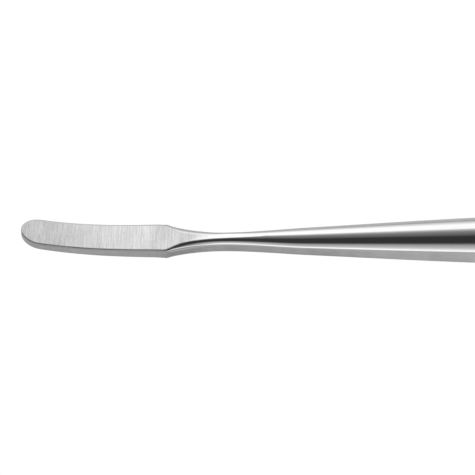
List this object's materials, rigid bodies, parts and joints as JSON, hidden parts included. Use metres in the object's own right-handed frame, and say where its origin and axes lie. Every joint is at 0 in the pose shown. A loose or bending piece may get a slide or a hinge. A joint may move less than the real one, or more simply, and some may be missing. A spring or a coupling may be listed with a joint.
{
  "type": "sculpting spatula",
  "caption": "Steel sculpting spatula with a thin, slightly upturned flat blade with a rounded tip, a slim neck and a flat-sided hollow handle.",
  "frame": {"origin": "middle of the tool's length and width, on the plane its handle's belly rests on", "axes": "+X along the tool from the blade to the end plug, +Z out of the blade's upper face, +Y across the blade"},
  "size_m": [0.2, 0.0124, 0.0085],
  "materials": {
    "forged_steel": "forged stainless steel, blade face ground across in satin, neck polished",
    "shell_steel": "stamped stainless steel, polished crown with satin side flats",
    "resin_cement": "cast resin cement, dull",
    "plate_steel": "blanked sheet steel, as cut",
    "pin_steel": "drawn steel wire, bright"
  },
  "bodies": {
    "root": {"blade_forging": "forged_steel", "upper_handle_shell": "shell_steel", "lower_handle_shell": "shell_steel", "handle_cement": "resin_cement", "cement_stop_plate": "plate_steel", "tang_pin": "pin_steel", "end_plug": "forged_steel"}
  },
  "joints": []
}
